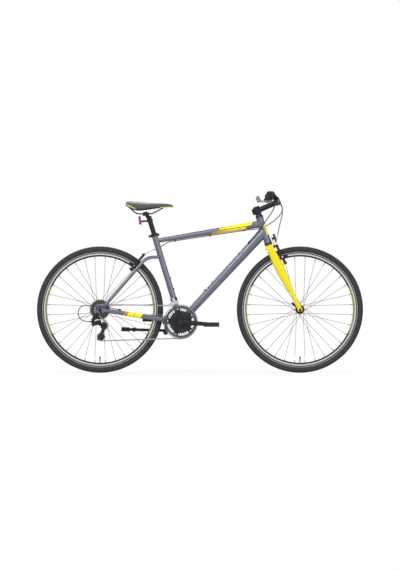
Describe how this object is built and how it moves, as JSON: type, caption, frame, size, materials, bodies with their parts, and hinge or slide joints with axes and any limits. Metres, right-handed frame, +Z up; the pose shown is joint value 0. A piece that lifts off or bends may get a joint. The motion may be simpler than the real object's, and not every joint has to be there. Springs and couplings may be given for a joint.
{
  "type": "hybrid bicycle",
  "caption": "Flat-bar hybrid bicycle with diamond frame, rigid fork, rim brakes, spoked road-size wheels, derailleur gears, kickstand and reflectors.",
  "frame": {"origin": "on the ground midway between the two wheel axles, in the bicycle's middle plane", "axes": "+X forward, +Y to the rider's left, +Z up; the chain is on the -Y side"},
  "size_m": [1.7958, 0.6394, 0.9959],
  "materials": {
    "frame_paint": "slate grey metallic paint",
    "fork_paint": "gloss yellow paint",
    "black_alloy": "black anodised",
    "bright_steel": "bright",
    "dark_steel": "dark",
    "black_plastic": "matt",
    "silver_plastic": "satin silver",
    "grip_rubber": "matt",
    "tyre_rubber": "matt",
    "tube_rubber": "matt",
    "rim_alloy": "black with machined brake track",
    "clear_plastic": "clear",
    "cable_black": "satin",
    "saddle_cover": "dark coated cover",
    "red_reflector": "prismatic",
    "white_reflector": "prismatic"
  },
  "bodies": {
    "frame_body": {"frame": "frame_paint", "headset": "dark_steel", "bottom_bracket": "dark_steel", "seat_clamp": "black_alloy", "frame_fittings": "black_alloy", "chain": "bright_steel", "front_derailleur_body": "bright_steel", "rear_derailleur_body": "black_alloy", "rear_axle": "dark_steel", "frame_cables": "cable_black"},
    "steering": {"fork": "fork_paint", "stem": "black_alloy", "handlebar": "black_alloy", "grips": "grip_rubber", "brake_shift_housings": "black_plastic", "front_axle": "dark_steel", "front_reflector": "white_reflector", "front_brake_cable": "cable_black"},
    "right_brake_lever": {"right_brake_lever": "black_alloy"},
    "left_brake_lever": {"left_brake_lever": "black_alloy"},
    "right_thumb_lever": {"right_thumb_lever": "silver_plastic"},
    "left_thumb_lever": {"left_thumb_lever": "silver_plastic"},
    "front_brake_arm_left": {"front_brake_arm_left": "black_alloy"},
    "front_brake_arm_right": {"front_brake_arm_right": "black_alloy"},
    "rear_brake_arm_left": {"rear_brake_arm_left": "black_alloy"},
    "rear_brake_arm_right": {"rear_brake_arm_right": "black_alloy"},
    "front_wheel": {"front_tyre": "tyre_rubber", "front_inner_tube": "tube_rubber", "front_rim": "rim_alloy", "front_spokes": "bright_steel", "front_hub": "black_alloy"},
    "rear_wheel": {"rear_tyre": "tyre_rubber", "rear_inner_tube": "tube_rubber", "rear_rim": "rim_alloy", "rear_spokes": "bright_steel", "rear_hub": "black_alloy"},
    "freewheel": {"freewheel": "dark_steel"},
    "crank": {"crank_axles": "dark_steel", "right_crank": "black_alloy", "chainrings": "dark_steel", "chain_guard": "clear_plastic", "left_crank": "black_alloy"},
    "right_pedal": {"right_pedal": "black_plastic"},
    "left_pedal": {"left_pedal": "black_plastic"},
    "seat": {"seatpost": "black_alloy", "saddle_pad": "saddle_cover", "saddle_shell": "black_plastic", "saddle_rails": "dark_steel", "rear_reflector": "red_reflector"},
    "rd_outer_link": {"rd_outer_link": "black_alloy"},
    "rd_inner_link": {"rd_inner_link": "black_alloy"},
    "rd_knuckle": {"rd_knuckle": "black_alloy"},
    "rd_cage": {"rd_cage": "dark_steel"},
    "rd_guide_pulley": {"rd_guide_pulley": "black_plastic"},
    "rd_tension_pulley": {"rd_tension_pulley": "black_plastic"},
    "fd_link": {"fd_link": "bright_steel"},
    "fd_cage": {"fd_cage": "bright_steel"},
    "kickstand": {"kickstand_leg": "black_alloy"},
    "front_qr_lever": {"front_qr_lever": "black_alloy"},
    "seat_qr_lever": {"seat_qr_lever": "black_alloy"}
  },
  "joints": [
    {"name": "steering_turn", "type": "hinge", "parent": "frame_body", "child": "steering", "pos_m": [0.50258, 0, 0.33214], "axis": [-0.3173, 0, 0.9483], "range_deg": [-60, 60], "deforming": ["frame_cables"]},
    {"name": "front_wheel_spin", "type": "hinge", "parent": "steering", "child": "front_wheel", "pos_m": [0.55, 0, 0.348], "axis": [0, 1, 0], "continuous": true},
    {"name": "rear_wheel_spin", "type": "hinge", "parent": "frame_body", "child": "rear_wheel", "pos_m": [-0.55, 0, 0.348], "axis": [0, 1, 0], "continuous": true},
    {"name": "crank_spin", "type": "hinge", "parent": "frame_body", "child": "crank", "pos_m": [-0.10618, 0, 0.28], "axis": [0, 1, 0], "continuous": true, "deforming": ["chain"]},
    {"name": "freewheel_spin", "type": "hinge", "parent": "frame_body", "child": "freewheel", "pos_m": [-0.55, 0, 0.348], "axis": [0, 1, 0], "continuous": true},
    {"name": "right_pedal_spin", "type": "hinge", "parent": "crank", "child": "right_pedal", "pos_m": [0.0633, 0, 0.26666], "axis": [0, 1, 0], "continuous": true},
    {"name": "left_pedal_spin", "type": "hinge", "parent": "crank", "child": "left_pedal", "pos_m": [-0.27565, 0, 0.29334], "axis": [0, 1, 0], "continuous": true},
    {"name": "seat_slide", "type": "slide", "parent": "frame_body", "child": "seat", "axis": [-0.2907, 0, 0.9568], "range_m": [-0.06, 0.04]},
    {"name": "right_brake_pull", "type": "hinge", "parent": "steering", "child": "right_brake_lever", "pos_m": [0.42159, -0.18497, 0.95371], "axis": [-0.6662, 0.0934, -0.7399], "range_deg": [0, 14], "stiffness_Nm_per_rad": 1.2, "springref_deg": -8.59, "deforming": ["frame_cables"]},
    {"name": "left_brake_pull", "type": "hinge", "parent": "steering", "child": "left_brake_lever", "pos_m": [0.42159, 0.18497, 0.95371], "axis": [0.6662, 0.0934, 0.7399], "range_deg": [0, 14], "stiffness_Nm_per_rad": 1.2, "springref_deg": -8.59, "deforming": ["front_brake_cable"]},
    {"name": "right_shift_push", "type": "hinge", "parent": "steering", "child": "right_thumb_lever", "pos_m": [0.37438, -0.1674, 0.96323], "axis": [0, 0, -1], "range_deg": [0, 35], "stiffness_Nm_per_rad": 0.3, "springref_deg": -11.46},
    {"name": "left_shift_push", "type": "hinge", "parent": "steering", "child": "left_thumb_lever", "pos_m": [0.37438, 0.1674, 0.96323], "axis": [0, 0, 1], "range_deg": [0, 35], "stiffness_Nm_per_rad": 0.3, "springref_deg": -11.46},
    {"name": "front_left_arm_turn", "type": "hinge", "parent": "steering", "child": "front_brake_arm_left", "pos_m": [0.4622, 0.04527, 0.6023], "axis": [0.8981, 0, 0.4399], "range_deg": [0, 2.32]},
    {"name": "front_right_arm_turn", "type": "hinge", "parent": "steering", "child": "front_brake_arm_right", "pos_m": [0.4622, -0.04527, 0.6023], "axis": [-0.8981, 0, -0.4399], "range_deg": [0, 2.32]},
    {"name": "rear_left_arm_turn", "type": "hinge", "parent": "frame_body", "child": "rear_brake_arm_left", "pos_m": [-0.37246, 0.04261, 0.56599], "axis": [0.7551, 0, -0.6556], "range_deg": [0, 3.22]},
    {"name": "rear_right_arm_turn", "type": "hinge", "parent": "frame_body", "child": "rear_brake_arm_right", "pos_m": [-0.37246, -0.04261, 0.56599], "axis": [-0.7551, 0, 0.6556], "range_deg": [0, 3.22]},
    {"name": "rear_shift_swing", "type": "hinge", "parent": "frame_body", "child": "rd_outer_link", "pos_m": [-0.588, -0.078, 0.274], "axis": [0, 0.5, 0.866], "range_deg": [0, 48], "stiffness_Nm_per_rad": 0.6, "springref_deg": -28.65},
    {"name": "rear_inner_link_swing", "type": "hinge", "parent": "frame_body", "child": "rd_inner_link", "pos_m": [-0.588, -0.06241, 0.265], "axis": [0, 0.5, 0.866], "range_deg": [-0.2, 48.2]},
    {"name": "rear_knuckle_swing", "type": "hinge", "parent": "rd_outer_link", "child": "rd_knuckle", "pos_m": [-0.5478, -0.0935, 0.28295], "axis": [0, 0.5, 0.866], "range_deg": [-48.2, 0.2]},
    {"name": "cage_swing", "type": "hinge", "parent": "rd_knuckle", "child": "rd_cage", "pos_m": [-0.527, 0, 0.26], "axis": [0, 1, 0], "range_deg": [-60, 15], "stiffness_Nm_per_rad": 0.5},
    {"name": "guide_pulley_spin", "type": "hinge", "parent": "rd_cage", "child": "rd_guide_pulley", "pos_m": [-0.527, 0, 0.26], "axis": [0, 1, 0], "continuous": true},
    {"name": "tension_pulley_spin", "type": "hinge", "parent": "rd_cage", "child": "rd_tension_pulley", "pos_m": [-0.54233, 0, 0.19889], "axis": [0, 1, 0], "continuous": true},
    {"name": "front_shift_swing", "type": "hinge", "parent": "frame_body", "child": "fd_link", "pos_m": [-0.14397, -0.028, 0.41339], "axis": [1, 0, 0], "range_deg": [0, 41], "stiffness_Nm_per_rad": 0.4, "springref_deg": -22.92},
    {"name": "front_cage_swing", "type": "hinge", "parent": "fd_link", "child": "fd_cage", "pos_m": [-0.14397, -0.0477, 0.39959], "axis": [1, 0, 0], "range_deg": [-41.2, 0.2]},
    {"name": "kickstand_fold", "type": "hinge", "parent": "frame_body", "child": "kickstand", "pos_m": [-0.188, 0.046, 0.232], "axis": [-0.0479, -0.9137, -0.4036], "range_deg": [0, 105]},
    {"name": "front_qr_open", "type": "hinge", "parent": "steering", "child": "front_qr_lever", "pos_m": [0.55, 0.0656, 0.348], "axis": [-0.65, 0, -0.76], "range_deg": [0, 150]},
    {"name": "seat_qr_open", "type": "hinge", "parent": "frame_body", "child": "seat_qr_lever", "pos_m": [-0.27551, 0.023, 0.75112], "axis": [-0.2, 0, 0.9798], "range_deg": [0, 150]}
  ],
  "couplings": [
    {"joint": "freewheel_spin", "follows": "crank_spin", "ratio": 3.1429},
    {"joint": "tension_pulley_spin", "follows": "crank_spin", "ratio": 4},
    {"joint": "guide_pulley_spin", "follows": "crank_spin", "ratio": -4},
    {"joint": "front_left_arm_turn", "follows": "left_brake_pull", "ratio": 0.16429},
    {"joint": "front_right_arm_turn", "follows": "left_brake_pull", "ratio": 0.16429},
    {"joint": "rear_left_arm_turn", "follows": "right_brake_pull", "ratio": 0.22857},
    {"joint": "rear_right_arm_turn", "follows": "right_brake_pull", "ratio": 0.22857},
    {"joint": "rear_inner_link_swing", "follows": "rear_shift_swing", "ratio": 1},
    {"joint": "rear_knuckle_swing", "follows": "rear_shift_swing", "ratio": -1},
    {"joint": "front_cage_swing", "follows": "front_shift_swing", "ratio": -1}
  ]
}
